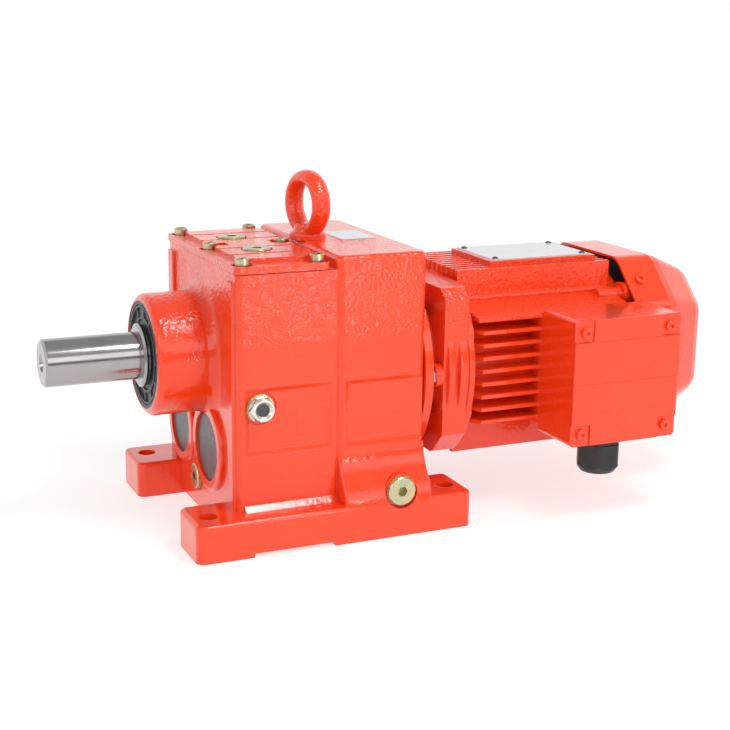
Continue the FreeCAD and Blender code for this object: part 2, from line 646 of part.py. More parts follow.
def end_cap(radius, yz):
    """A dished closing disc pressed in the mouth of a bore."""
    disc = rod(CAP_FACE_X, CAP_FACE_X + 5.0, radius, yz)
    face = [e for e in disc.Edges if e.Closed and e.BoundBox.XMax < CAP_FACE_X + 0.01]
    disc = disc.makeFillet(1.2, face)
    return disc.cut(rod(CAP_FACE_X + 2.0, CAP_FACE_X + 6.0, radius - 3.0, yz))


def make_caps():
    keep("large_front_cap", end_cap(INTER_BEARING_R[1], B_YZ))
    keep("small_front_cap", end_cap(SPARE_R, SPARE_BORE))


# ---------------------------------------------------------------- output shaft line
SEAL_X = (-117.0, -107.5)
COLLAR_R = 22.5
COLLAR_RING_R = 23.6        # the ring in front of the seal
COLLAR_GROOVE = (3.0, 0.9)  # distance of the turned groove behind the shoulder, and its width
KEYWAY_TURN = 217.5         # the keyway looks down and to the far side
OUTPUT_END_X = 9.0
CIRCLIP_W = 1.8


def make_output_seal():
    outer, inner = FRONT_BEARING_R[1], COLLAR_R + 0.06
    seal = tube(SEAL_X[0], SEAL_X[1], outer, inner, O_YZ)
    dish = tube(SEAL_X[0] - 1, SEAL_X[0] + 2.2, outer - 5.0, inner - 2, O_YZ)
    groove = tube(SEAL_X[0] - 1, SEAL_X[0] + 1.0, outer - 2.6, outer - 3.6, O_YZ)
    seal = cut_all(seal, [dish, groove])
    ribs = []
    for k in range(12):
        spoke = box(SEAL_X[0] + 0.9, SEAL_X[0] + 2.6, -1.1, 1.1, inner + 5.0, outer - 4.6)
        spoke.rotate(V(0, 0, 0), ALONG, 30.0 * k)
        spoke.translate(V(0, O_YZ[0], O_YZ[1]))
        ribs.append(spoke)
    lip = tube(SEAL_X[0] + 0.9, SEAL_X[0] + 3.0, inner + 5.4, inner + 3.8, O_YZ)
    keep("output_seal", fuse([seal, lip] + ribs))


def make_output_line():
    tip_x = SHOULDER_X - SHAFT_LEN
    bevel = 1.6
    groove_x = SHOULDER_X + COLLAR_GROOVE[0]
    groove_end = groove_x + COLLAR_GROOVE[1]
    groove_r = COLLAR_R - 1.2
    shaft = revolve_x([
        (tip_x, 0), (tip_x, SHAFT_R - bevel), (tip_x + bevel, SHAFT_R), (SHOULDER_X, SHAFT_R),
        (SHOULDER_X, COLLAR_RING_R - 2.2), (SHOULDER_X + 1.3, COLLAR_RING_R),
        (groove_x, COLLAR_RING_R), (groove_x, groove_r), (groove_end, groove_r),
        (groove_end, COLLAR_R), (FRONT_BEARING_X[0], COLLAR_R),
        (FRONT_BEARING_X[0], FRONT_BEARING_R[0]), (WHEEL_2_X[1], FRONT_BEARING_R[0]),
        (WHEEL_2_X[1], 24.0), (REAR_BEARING_X[0], 24.0), (REAR_BEARING_X[0], REAR_BEARING_R[0]),
        (OUTPUT_END_X, REAR_BEARING_R[0]), (OUTPUT_END_X, 0),
    ], O_YZ)
    keyway = soft_box(tip_x + 7, tip_x + 63, -5, 5, SHAFT_R - 5, SHAFT_R + 3, 4.99)
    keyway.rotate(V(0, 0, 0), ALONG, KEYWAY_TURN)
    keyway.translate(V(0, O_YZ[0], O_YZ[1]))
    thread = rod(tip_x - 1, tip_x + 28, 5.1, O_YZ)
    sink = cone(tip_x - 0.01, tip_x + 3.0, 6.9, 5.1, O_YZ)
    wheel_slot = box(WHEEL_2_X[0] + 4, WHEEL_2_X[1] - 4, -6, 6, FRONT_BEARING_R[0] - 5,
                     FRONT_BEARING_R[0] + 4)
    wheel_slot.translate(V(0, O_YZ[0], O_YZ[1]))
    clip_groove = tube(REAR_BEARING_X[1], REAR_BEARING_X[1] + CIRCLIP_W - 0.3, 20, 16.3, O_YZ)
    keep("output_shaft", cut_all(shaft, [keyway, thread, sink, wheel_slot, clip_groove]))

    key = box(WHEEL_2_X[0] + 4, WHEEL_2_X[1] - 4, -6, 6, FRONT_BEARING_R[0] - 5,
              FRONT_BEARING_R[0] + 3)
    key.translate(V(0, O_YZ[0], O_YZ[1]))
    keep("output_wheel_key", key)

    keep("output_spacer", tube(FRONT_BEARING_X[1], WHEEL_2_X[0], 25.0, FRONT_BEARING_R[0], O_YZ))
    clip = tube(REAR_BEARING_X[1], REAR_BEARING_X[1] + CIRCLIP_W - 0.3, 20.5, 16.3, O_YZ)
    gap = box(REAR_BEARING_X[1] - 1, OUTPUT_END_X + 1, -2, 2, SHAFT_HEIGHT - 30, SHAFT_HEIGHT)
    keep("output_circlip", clip.cut(gap))


def lightened(gear, span, hub_r, rim_r, depth, yz):
    """Turns a shallow recess in both faces of a wheel."""
    front = tube(span[0] - 1, span[0] + depth, rim_r, hub_r, yz)
    rear = tube(span[1] - depth, span[1] + 1, rim_r, hub_r, yz)
    return gear.cut([front, rear])


def make_gears():
    distance_2, along_2 = centre_line(O_YZ, B_YZ)
    beta_2 = helix_angle(MODULE_2, Z_PINION_2 + Z_WHEEL_2, distance_2)
    mesh_2 = (WHEEL_2_X[0] + WHEEL_2_X[1]) / 2
    wheel_2 = helical_gear(Z_WHEEL_2, MODULE_2, beta_2, 1, WHEEL_2_X, mesh_2, along_2, O_YZ)
    pinion_turn = along_2 + math.pi + math.pi / Z_PINION_2
    pinion_2 = helical_gear(Z_PINION_2, MODULE_2, beta_2, -1, PINION_2_X, mesh_2,
                            pinion_turn, B_YZ)

    distance_1, along_1 = centre_line(B_YZ, M_YZ)
    beta_1 = helix_angle(MODULE_1, Z_MOTOR + Z_WHEEL_1, distance_1)
    mesh_1 = (WHEEL_1_X[0] + WHEEL_1_X[1]) / 2
    wheel_1 = helical_gear(Z_WHEEL_1, MODULE_1, beta_1, -1, WHEEL_1_X, mesh_1, along_1, B_YZ)
    motor_turn = along_1 + math.pi + math.pi / Z_MOTOR
    pinion_1 = helical_gear(Z_MOTOR, MODULE_1, beta_1, 1, PINION_1_X, mesh_1, motor_turn, M_YZ)

    slot = box(WHEEL_2_X[0] - 1, WHEEL_2_X[1] + 1, -6, 6, 0, FRONT_BEARING_R[0] + 3)
    slot.translate(V(0, O_YZ[0], O_YZ[1]))
    wheel_2 = wheel_2.cut([rod(WHEEL_2_X[0] - 1, WHEEL_2_X[1] + 1, FRONT_BEARING_R[0], O_YZ), slot])
    keep("output_wheel", lightened(wheel_2, WHEEL_2_X, 31, 49, 5, O_YZ))

    seat_r = 14.0
    key_slot = box(WHEEL_1_X[0] - 1, WHEEL_1_X[1] + 1, -4, 4, 0, seat_r + 3)
    key_slot.translate(V(0, B_YZ[0], B_YZ[1]))
    wheel_1 = wheel_1.cut([rod(WHEEL_1_X[0] - 1, WHEEL_1_X[1] + 1, seat_r, B_YZ), key_slot])
    keep("intermediate_wheel", lightened(wheel_1, WHEEL_1_X, 22, 37, 4, B_YZ))

    neck_r = 11.0
    shaft = revolve_x([
        (INTER_FRONT_X[0] + 1, 0), (INTER_FRONT_X[0] + 1, 11.5), (INTER_FRONT_X[0] + 2, 12.5),
        (INTER_FRONT_X[1], 12.5), (INTER_FRONT_X[1], 14.5), (PINION_2_X[0] - 2, 14.5),
        (PINION_2_X[0] - 2, neck_r), (PINION_2_X[1] + 3, neck_r), (PINION_2_X[1] + 3, 16.0),
        (WHEEL_1_X[0], 16.0), (WHEEL_1_X[0], seat_r), (WHEEL_1_X[1] + 2, seat_r),
        (WHEEL_1_X[1] + 2, 12.5), (INTER_REAR_X[1] - 1, 12.5), (INTER_REAR_X[1] - 1, 0),
    ], B_YZ)
    shaft = fuse([shaft, pinion_2])
    pocket = box(WHEEL_1_X[0] + 3, WHEEL_1_X[1] - 3, -4, 4, seat_r - 4, seat_r + 4)
    pocket.translate(V(0, B_YZ[0], B_YZ[1]))
    keep("intermediate_shaft", shaft.cut(pocket))
    key = box(WHEEL_1_X[0] + 3, WHEEL_1_X[1] - 3, -4, 4, seat_r - 4, seat_r + 3)
    key.translate(V(0, B_YZ[0], B_YZ[1]))
    keep("intermediate_key", key)
    spacer = tube(WHEEL_1_X[1], INTER_REAR_X[0], 17.0, seat_r, B_YZ)
    spacer = spacer.fuse(tube(WHEEL_1_X[1] + 2, INTER_REAR_X[0], 17.0, 12.5, B_YZ)).removeSplitter()
    keep("intermediate_spacer", spacer)

    shank = rod(PINION_1_X[1] - 1, PINION_SHANK_END_X, PINION_SHANK_R, M_YZ)
    keep("motor_pinion", fuse([pinion_1, shank]))


# ---------------------------------------------------------------- motor
PINION_SHANK_R = 7.5
PINION_SHANK_END_X = 118.0
ADAPTER_X = (75.0, 92.0)
ADAPTER_R = 83.0
ADAPTER_NECK_R = 61.0
ADAPTER_DISC_T = 6.5
EAR_X = (86.0, 92.0)        # ears on the adapter, in front of the motor's shield
SHIELD_X = (92.0, 112.0)
SHIELD_HALF_W = 78.0
SHIELD_RING_R = 82.5        # round bands that stand out of the square shield's sides
SHIELD_RINGS_X = ((95.0, 101.0), (104.5, 112.0))
NUT_RADIUS = 71.0           # the flange studs' distance from the motor's axis
LUG_ANGLES = (42, 138, 222, 318)
LUG_RADIUS = 70.0           # the rear shield's lugs: distance from the axis, thickness and length
LUG_R = 9.5
LUG_LENGTH = 10.0
STATOR_X = (112.0, 262.0)
STATOR_R = 66.0
BORE_R = 59.0
CORE_X = (142.0, 232.0)
CORE_BORE_R = 33.2
ROTOR_R = 32.8
TOP_HALF_W = 42.0
TOP_RISE = 72.8
SIDE_REACH = 80.0
FIN_T = 3.0
FIN_START = (6.0, 13.0)     # the side fins' front ends behind the flange, at the root and at the tip
MOTOR_BEARING_R = (10.0, 23.5)
MOTOR_FRONT_BEARING_X = (95.0, 109.0)
MOTOR_REAR_BEARING_X = (266.0, 280.0)
ROTOR_FRONT_X = 72.0
ROTOR_REAR_X = 326.0
COWL_HALF = 74.8
COWL_FLAT = 42.0            # half length of each flat side
COWL_CORNER = 7.0           # how far the rounding of each corner reaches along its sides
COWL_SHAPE = (              # x, and the share of the full section there
    (265.0, 1.0), (297.0, 1.0), (304.0, 0.975), (333.0, 0.81), (339.0, 0.76), (342.0, 0.70))
COWL_END_X = 351.0
COWL_DOME_R = 50.0
COWL_SCREW_X = 277.0
COWL_T = 2.0
GRILLE_RINGS = ((9.0, 6), (17.0, 12), (25.0, 17), (33.0, 23), (41.0, 28))
GRILLE_HOLE_R = 2.7
FAN_X = 292.0               # front face of the fan's disc
FAN_R = 62.0
FAN_BLADES = 8
INPUT_SEAL_R = 17.5
WIRE_WAY = (215.0, MOTOR_AXIS_Z + 12.0)     # x and z of the hole between stator and terminal box


def make_adapter():
    disc_end = ADAPTER_X[0] + ADAPTER_DISC_T
    disc = rod(ADAPTER_X[0], disc_end, ADAPTER_R, M_YZ)
    neck = rod(disc_end - 1, ADAPTER_X[1], ADAPTER_NECK_R, M_YZ)
    rim = rod(EAR_X[0], EAR_X[1], ADAPTER_NECK_R + 5, M_YZ)
    spigot = rod(CASE_REAR_X - WALL, CASE_REAR_X + 1, MOTOR_SPIGOT_R, M_YZ)
    ears = []
    for angle in (0, 90, 180, 270):
        y, z = around(M_YZ, NUT_RADIUS, angle)
        ears.append(rod(EAR_X[0], EAR_X[1], 9.0, (y, z)))
    adapter = fuse([disc, neck, rim, spigot] + ears)
    low = box(ADAPTER_X[0] - 1, ADAPTER_X[1] + 1, -100, 100, 0, 30)
    tools = [
        rod(ADAPTER_X[0] + 3, ADAPTER_X[1] + 1, 40.0, M_YZ),
        rod(CASE_REAR_X - WALL - 1, ADAPTER_X[1], INPUT_SEAL_R, M_YZ),
        low,
    ]
    for angle in ADAPTER_ANGLES:
        place = around(M_YZ, ADAPTER_SCREW_R, angle)
        tools.append(rod(ADAPTER_X[0] - 1, ADAPTER_X[1] + 1, 3.5, place))
        tools.append(rod(disc_end, ADAPTER_X[1] + 1, 6.2, place))
    for side in (-1, 1):
        tools.append(rod(EAR_X[0] - 1, EAR_X[1] + 1, 4.0, (side * NUT_RADIUS, M_YZ[1])))
    keep("motor_adapter", cut_all(adapter, tools))

    seal = tube(CASE_REAR_X - 6, CASE_REAR_X + 1, INPUT_SEAL_R, 12.6, M_YZ)
    keep("input_seal", seal)
    screws = []
    for angle in ADAPTER_ANGLES:
        y, z = around(M_YZ, ADAPTER_SCREW_R, angle)
        screws.append(socket_screw(V(disc_end, y, z), ALONG, 5.6, 6.5, 3.4, 17.0, 5.0))
    keep("adapter_screws", group(screws))


def shield_outline():
    """The square front shield: nearly sharp at the top, well cut at the bottom."""
    w = SHIELD_HALF_W
    z0 = M_YZ[1]
    return [(-w, z0 - 46), (-w, z0 + 58), (-w + 8, z0 + 66), (w - 8, z0 + 66), (w, z0 + 58),
            (w, z0 - 46), (w - 18, z0 - 64), (-w + 18, z0 - 64)]


def flange_band(x0, x1):
    """A round band no taller than the square flange, with rounded edges."""
    band = rod(x0, x1, SHIELD_RING_R, M_YZ)
    band = band.makeFillet(1.6, [e for e in band.Edges if e.Closed])
    side = SHIELD_RING_R + 1
    return band.common(box(x0, x1, -side, side, M_YZ[1] - 46, M_YZ[1] + 58))


def make_front_shield():
    plate = prism_x(shield_outline(), SHIELD_X[0], SHIELD_X[1])
    corners = [e for e in plate.Edges if abs(e.tangentAt(e.FirstParameter).dot(ALONG)) > 0.99]
    plate = plate.makeFillet(3.0, corners)
    plate = fuse([plate] + [flange_band(x0, x1) for x0, x1 in SHIELD_RINGS_X])
    recess = rod(SHIELD_X[0] + 12, SHIELD_X[1] + 1, BORE_R - 2, M_YZ)
    hub = rod(SHIELD_X[0] + 1, SHIELD_X[1], 32.0, M_YZ)
    spigot = tube(SHIELD_X[1], SHIELD_X[1] + 5, BORE_R, BORE_R - 4, M_YZ)
    shield = fuse([plate.cut(recess), hub, spigot])
    tools = [
        rod(MOTOR_FRONT_BEARING_X[0], SHIELD_X[1] + 1, MOTOR_BEARING_R[1], M_YZ),
        rod(SHIELD_X[0] - 1, SHIELD_X[1], 14.0, M_YZ),
    ]
    for side in (-1, 1):
        tools.append(rod(SHIELD_X[0] - 1, SHIELD_X[1] + 1, 4.0, (side * NUT_RADIUS, M_YZ[1])))
    keep("motor_front_shield", cut_all(shield, tools))

    pieces = []
    for side in (-1, 1):
        y, z = M_YZ[0] + side * NUT_RADIUS, M_YZ[1]
        stud = rod(EAR_X[0] - 4.3, STATOR_X[0] + 4, 4.0, (y, z))
        nut = hex_nut(V(EAR_X[0], y, z), V(-1, 0, 0), 12.0, 4.2, 4.0)
        pieces += [stud, nut]
    keep("flange_studs", group(pieces))


def fin_shadow(x0, x1):
    """The plus-shaped envelope that the cooling fins fill."""
    z0 = M_YZ[1]
    tall = box(x0, x1, -TOP_HALF_W, TOP_HALF_W, z0 - TOP_RISE, z0 + TOP_RISE)
    wide = prism_x([(-SIDE_REACH, z0 - 40), (-SIDE_REACH, z0 + 42), (-TOP_HALF_W, z0 + 49),
                    (TOP_HALF_W, z0 + 49), (SIDE_REACH, z0 + 42), (SIDE_REACH, z0 - 40),
                    (TOP_HALF_W, z0 - 47), (-TOP_HALF_W, z0 - 47)], x0, x1)
    root_x = STATOR_X[0] + FIN_START[0]
    tip_x = STATOR_X[0] + FIN_START[1]
    plan = [V(root_x, -STATOR_R, 0), V(tip_x, -SIDE_REACH - 1, 0), V(x1, -SIDE_REACH - 1, 0),
            V(x1, SIDE_REACH + 1, 0), V(tip_x, SIDE_REACH + 1, 0), V(root_x, STATOR_R, 0)]
    plan_face = Part.Face(Part.makePolygon(plan + plan[:1]))
    return tall.fuse(wide.common(plan_face.extrude(UP * 300)))


TBOX_X = (174.0, 268.0)
TBOX_Z = (62.0, 159.0)
TBOX_FACE_Y = -130.0
TBOX_LID = 5.0
TBOX_BACK_Y = -66.0
TBOX_WALL = 4.0
MOTOR_PLATE_X = (158.0, 246.0)
MOTOR_PLATE_HALF = 30.0
PAD_TOP_Z = MOTOR_AXIS_Z + TOP_RISE + 3.6


def stator_fins():
    z0 = M_YZ[1]
    x0, x1 = STATOR_X
    fins = []
    for k in range(-5, 6):
        y = k * (TOP_HALF_W - FIN_T / 2) / 5
        fins.append(box(x0 + 8, x1 - 4, y - FIN_T / 2, y + FIN_T / 2, z0 - TOP_RISE, z0 + TOP_RISE))
    for k in range(9):
        z = z0 + 41.0 - k * 10.0
        fins.append(box(x0 + 8, x1 - 4, -SIDE_REACH, SIDE_REACH, z - FIN_T / 2, z + FIN_T / 2))
    return fins


def make_stator_housing():
    z0 = M_YZ[1]
    x0, x1 = STATOR_X
    body = rod(x0, x1, STATOR_R, M_YZ)
    front_ring = prism_x(shield_outline(), x0, x0 + 5).common(rod(x0, x0 + 5, 84.0, M_YZ))
    envelope = fin_shadow(x0 + 2, x1 - 2)
    walls = []
    for side in (-1, 1):
        edge = side * TOP_HALF_W
        inner = side * (TOP_HALF_W - 4)
        lo, hi = min(edge, inner), max(edge, inner)
        walls.append(box(x0 + 8, x1 - 4, lo, hi, z0 + 40, z0 + TOP_RISE))
        walls.append(box(x0 + 8, x1 - 4, lo, hi, z0 - TOP_RISE, z0 - 40))
        walls.append(rod(x0 + 12, x1 - 6, 3.0, (edge, z0 + 50)))
        shelf = prism_x([(edge, z0 + 49), (side * SIDE_REACH, z0 + 42),
                         (side * SIDE_REACH, z0 + 39.5), (side * 40, z0 + 44)], x0 + 8, x1 - 4)
        walls.append(shelf)
    fins = [fin.common(envelope) for fin in stator_fins()]
    pad = box(MOTOR_PLATE_X[0] - 4, MOTOR_PLATE_X[1] + 4, -MOTOR_PLATE_HALF - 3,
              MOTOR_PLATE_HALF + 3, z0 + TOP_RISE - 4, PAD_TOP_Z)
    box_base = box(TBOX_X[0], TBOX_X[1] - 8, TBOX_BACK_Y - 16, TBOX_BACK_Y + 12,
                   TBOX_Z[0] + 6, TBOX_Z[1] - 4)
    rear_lugs = [rod(x1 - 22, x1, 6.0, around(M_YZ, LUG_RADIUS, a)) for a in LUG_ANGLES]
    flange = [front_ring, flange_band(x0, x0 + 5.5)]
    housing = fuse([body, pad, box_base] + flange + walls + fins + rear_lugs)
    tools = [rod(x0 - 1, x1 + 1, BORE_R, M_YZ)]
    tools.append(pin_y(WIRE_WAY[0], WIRE_WAY[1], TBOX_BACK_Y - 20, -40, 11.0))
    for side in (-1, 1):
        tools.append(rod(x0 - 1, x0 + 4.5, 4.0, (side * NUT_RADIUS, z0)))
    keep("stator_housing", cut_all(housing, tools))


def make_stator_and_rotor():
    core = tube(CORE_X[0], CORE_X[1], BORE_R, CORE_BORE_R, M_YZ)
    slots = []
    for k in range(24):
        slot = box(CORE_X[0] - 1, CORE_X[1] + 1, -2.2, 2.2, CORE_BORE_R + 2.0, CORE_BORE_R + 15)
        slot.rotate(V(0, 0, 0), ALONG, 15.0 * k)
        slot.translate(V(0, M_YZ[0], M_YZ[1]))
        slots.append(slot)
    keep("stator_core", core.cut(slots))
    coils = []
    for x0, x1 in ((CORE_X[0] - 22, CORE_X[0] - 0.2), (CORE_X[1] + 0.2, CORE_X[1] + 22)):
        ring = tube(x0, x1, BORE_R - 7, CORE_BORE_R + 4, M_YZ)
        rim = [e for e in ring.Edges if e.Closed]
        coils.append(ring.makeFillet(3.0, rim))
    for k in range(24):
        bar = box(CORE_X[0] - 0.2, CORE_X[1] + 0.2, -1.9, 1.9, CORE_BORE_R + 4.2,
                  CORE_BORE_R + 14.6)
        bar.rotate(V(0, 0, 0), ALONG, 15.0 * k)
        bar.translate(V(0, M_YZ[0], M_YZ[1]))
        coils.append(bar)
    keep("windings", fuse(coils))

    rotor = tube(CORE_X[0], CORE_X[1], ROTOR_R - 0.3, 15.0, M_YZ)
    ends = [tube(CORE_X[0] - 8, CORE_X[0], ROTOR_R - 3, 19.0, M_YZ),
            tube(CORE_X[1], CORE_X[1] + 8, ROTOR_R - 3, 19.0, M_YZ)]
    keep("rotor_core", fuse([rotor] + ends))

    fb, rb = MOTOR_FRONT_BEARING_X, MOTOR_REAR_BEARING_X
    shaft = revolve_x([
        (ROTOR_FRONT_X - 4, PINION_SHANK_R), (ROTOR_FRONT_X - 4, 12.5), (fb[0] - 8, 12.5),
        (fb[0] - 8, 12.4), (fb[0] - 1, 12.4), (fb[0] - 1, MOTOR_BEARING_R[0]),
        (fb[1], MOTOR_BEARING_R[0]), (fb[1], 15.0), (rb[0], 15.0), (rb[0], MOTOR_BEARING_R[0]),
        (rb[1] + 1, MOTOR_BEARING_R[0]), (rb[1] + 1, 9.0), (ROTOR_REAR_X - 1, 9.0),
        (ROTOR_REAR_X, 8.0), (ROTOR_REAR_X, 0), (PINION_SHANK_END_X, 0),
        (PINION_SHANK_END_X, PINION_SHANK_R),
    ], M_YZ)
    keep("rotor_shaft", shaft)



def make_fan():
    hub = tube(FAN_X, FAN_X + 28, 15.0, 9.0, M_YZ)
    disc = tube(FAN_X, FAN_X + 3, FAN_R, 12.0, M_YZ)
    trim = rod(FAN_X - 1, FAN_X + 40, FAN_R, M_YZ)
    blades = []
    for k in range(FAN_BLADES):
        blade = box(FAN_X + 2, FAN_X + 24, -1.1, 1.1, 13.5, FAN_R)
        blade.rotate(V(0, 0, 0), ALONG, 360.0 * k / FAN_BLADES)
        blade.translate(V(0, M_YZ[0], M_YZ[1]))
        blades.append(blade.common(trim))
    keep("cooling_fan", fuse([hub, disc] + blades))


def make_rear_shield():
    x0 = STATOR_X[1]
    plate = tube(x0, x0 + 5, STATOR_R, 26.0, M_YZ)
    spigot = tube(x0 - 5, x0, BORE_R, BORE_R - 4, M_YZ)
    seat = tube(x0, MOTOR_REAR_BEARING_X[1] + 3, 30.0, MOTOR_BEARING_R[1], M_YZ)
    back = tube(MOTOR_REAR_BEARING_X[1], MOTOR_REAR_BEARING_X[1] + 3, 30.0, 11.0, M_YZ)
    front = tube(x0, x0 + 4, 30.0, 17.0, M_YZ)
    arms = []
    room = Part.Face(cowl_section(x0, COWL_T + 0.4, 1.0)).extrude(ALONG * LUG_LENGTH)
    for angle in LUG_ANGLES:
        arm = rod(x0, x0 + LUG_LENGTH, LUG_R, around(M_YZ, LUG_RADIUS, angle))
        arms.append(arm.common(room))
    keep("motor_rear_shield", fuse([plate, spigot, seat, back, front] + arms))


def cowl_section(x, inset, share):
    """The cowl's eight-sided section with rounded corners, scaled to a share of its full size."""
    half = COWL_HALF * share - inset
    flat = COWL_FLAT * share - inset * math.tan(math.pi / 8)
    z0 = M_YZ[1]
    corners = [V(x, y, z0 + z) for y, z in (
        (-half, -flat), (-half, flat), (-flat, half), (flat, half),
        (half, flat), (half, -flat), (flat, -half), (-flat, -half))]
    edges = []
    cut = COWL_CORNER * share
    for k, corner in enumerate(corners):
        before = (corners[k - 1] - corner).normalize()
        after = (corners[(k + 1) % 8] - corner).normalize()
        start = corner + before * cut
        end = corner + after * cut
        inward = (before + after).normalize()
        turn = before.getAngle(after) / 2
        sag = cut / math.cos(turn) - cut * math.tan(turn)
        following = corners[(k + 1) % 8] - after * cut
        edges.append(Part.Arc(start, corner + inward * sag, end).toShape())
        edges.append(Part.makeLine(end, following))
    return Part.Wire(edges)


def cowl_solid(inset):
    """The cowl's envelope, or its inside when inset is positive."""
    sections = [cowl_section(x - (inset if share < 1 else 0), inset, share) for x, share in COWL_SHAPE]
    return Part.makeLoft(sections, True, True)


def cowl_dome(inset):
    """The domed grille, or the space behind it."""
    dome_r = COWL_DOME_R - inset
    rise = COWL_END_X - COWL_SHAPE[-1][0]
    sphere_r = (COWL_DOME_R ** 2 + rise ** 2) / (2 * rise)
    ball = Part.makeSphere(sphere_r - inset, V(COWL_END_X - sphere_r, M_YZ[0], M_YZ[1]))
    return ball.common(rod(COWL_SHAPE[-1][0] - 3, COWL_END_X + 1, dome_r, M_YZ))


def make_cowl():
    outside = fuse([cowl_solid(0.0), cowl_dome(0.0)])
    inside = cowl_solid(COWL_T)
    mouth = Part.Face(cowl_section(COWL_SHAPE[0][0] - 1, COWL_T, 1.0)).extrude(ALONG * 2)
    cowl = outside.cut([inside, mouth]).cut(cowl_dome(COWL_T))
    slots = []
    for ring, count in GRILLE_RINGS:
        for k in range(count):
            place = around(M_YZ, ring, 360.0 * k / count)
            slots.append(rod(COWL_SHAPE[-1][0] - 6, COWL_END_X + 2, GRILLE_HOLE_R, place))
    cowl = cowl.cut(slots)
    holes = []
    screws = []
    for centre, normal in cowl_screw_places():
        holes.append(Part.makeCylinder(2.2, 30, centre - normal * 20, normal))
        screws.append(socket_screw(centre, normal, 4.4, 2.6, 2.2, 11.0, 3.0))
    keep("fan_cowl", cowl.cut(holes))
    keep("cowl_screws", group(screws))


def cowl_screw_places():
    """Centres and outward normals of the four cowl screws, on the slanted faces."""
    reach = (COWL_HALF + COWL_FLAT) / 2
    places = []
    for sy in (-1, 1):
        for sz in (-1, 1):
            normal = V(0, sy, sz)
            normal.normalize()
            places.append((V(COWL_SCREW_X, M_YZ[0] + sy * reach, M_YZ[1] + sz * reach), normal))
    return places


# ---------------------------------------------------------------- terminal box
LID_BACK_Y = TBOX_FACE_Y + TBOX_LID
GASKET_T = 0.4
BOX_FRONT_Y = LID_BACK_Y + GASKET_T
BOX_FLOOR_Y = TBOX_BACK_Y - 16.0
LID_SCREW_IN = 9.5
LID_STEPS = ((-1.0, 27.0, 0.6), (48.0, 80.0, 0.35), (80.0, 98.0, 0.9))     # from z, to z, depth
GLAND_X = 214.0
GLAND_Y = -106.0
GLAND_TOP_Z = TBOX_Z[0]
CABLE_R = 6.5


def lid_screw_places():
    return [(x, z) for x in (TBOX_X[0] + LID_SCREW_IN, TBOX_X[1] - LID_SCREW_IN)
            for z in (TBOX_Z[0] + LID_SCREW_IN, TBOX_Z[1] - LID_SCREW_IN)]


def make_terminal_box():
    x0, x1 = TBOX_X
    z0, z1 = TBOX_Z
    outer = soft_box(x0, x1, BOX_FRONT_Y, BOX_FLOOR_Y, z0, z1, 3.0, "y")
    inner = soft_box(x0 + TBOX_WALL, x1 - TBOX_WALL, BOX_FRONT_Y - 1, BOX_FLOOR_Y - 4,
                     z0 + TBOX_WALL, z1 - TBOX_WALL, 2.0, "y")
    posts = [pin_y(x, z, BOX_FRONT_Y, BOX_FRONT_Y + 18, 6.0) for x, z in lid_screw_places()]
    base = fuse([outer.cut(inner)] + posts)
    tools = [pin_y(x, z, BOX_FRONT_Y - 1, BOX_FRONT_Y + 14, 2.4) for x, z in lid_screw_places()]
    tools.append(post(GLAND_X, GLAND_Y, z0 - 1, z0 + TBOX_WALL + 1, 12.0))
    tools.append(pin_y(WIRE_WAY[0], WIRE_WAY[1], BOX_FLOOR_Y - 6, BOX_FLOOR_Y + 1, 11.0))
    keep("terminal_box", cut_all(base, tools))

    gasket = soft_box(x0 + 0.3, x1 - 0.3, LID_BACK_Y, BOX_FRONT_Y, z0 + 0.3, z1 - 0.3, 3.0, "y")
    window = box(x0 + 16, x1 - 16, LID_BACK_Y - 1, BOX_FRONT_Y + 1, z0 + 5, z1 - 5)
    window = window.fuse(box(x0 + 5, x1 - 5, LID_BACK_Y - 1, BOX_FRONT_Y + 1, z0 + 16, z1 - 16))
    holes = [pin_y(x, z, LID_BACK_Y - 1, BOX_FRONT_Y + 1, 2.6) for x, z in lid_screw_places()]
    keep("lid_gasket", gasket.cut([window] + holes))

    lid = soft_box(x0, x1, TBOX_FACE_Y, LID_BACK_Y, z0, z1, 3.0, "y")
    lid = lid.makeFillet(1.5, [e for e in lid.Edges if e.BoundBox.YMax < TBOX_FACE_Y + 0.01])
    tools = []
    for x, z in lid_screw_places():
        sx = -1 if x < (x0 + x1) / 2 else 1
        sz = -1 if z < (z0 + z1) / 2 else 1
        xa, xb = sorted((x - sx * 7.0, x + sx * 20))
        za, zb = sorted((z - sz * 7.0, z + sz * 20))
        tools.append(box(xa, xb, TBOX_FACE_Y - 1, TBOX_FACE_Y + 2.2, za, zb))
        tools.append(pin_y(x, z, TBOX_FACE_Y - 1, LID_BACK_Y + 1, 2.6))
    for low, high, depth in LID_STEPS:
        tools.append(box(x0 - 1, x1 + 1, TBOX_FACE_Y - 1, TBOX_FACE_Y + depth, z0 + low, z0 + high))
    keep("terminal_lid", lid.cut(tools))
    screws = []
    for x, z in lid_screw_places():
        seat = V(x, TBOX_FACE_Y + 2.2, z)
        screws.append(socket_screw(seat, V(0, -1, 0), 4.3, 2.6, 2.4, 15.0, 3.0))
    keep("lid_screws", group(screws))

    block_y = BOX_FLOOR_Y - 4
    block = box(199, 245, block_y - 16, block_y, 90, 132)
    ledge = box(203, 241, block_y - 22, block_y - 14, 105, 117)
    keep("terminal_block", block.fuse(ledge).removeSplitter())
    studs = []
    for x in (206, 222, 238):
        for z in (97, 125):
            stud = pin_y(x, z, block_y - 28, block_y - 16, 2.0)
            nut = hexagon(V(x, block_y - 16, z), 7.0, 3.0, V(0, -1, 0))
            studs.append(stud.fuse(nut))
    keep("terminal_studs", group(studs))


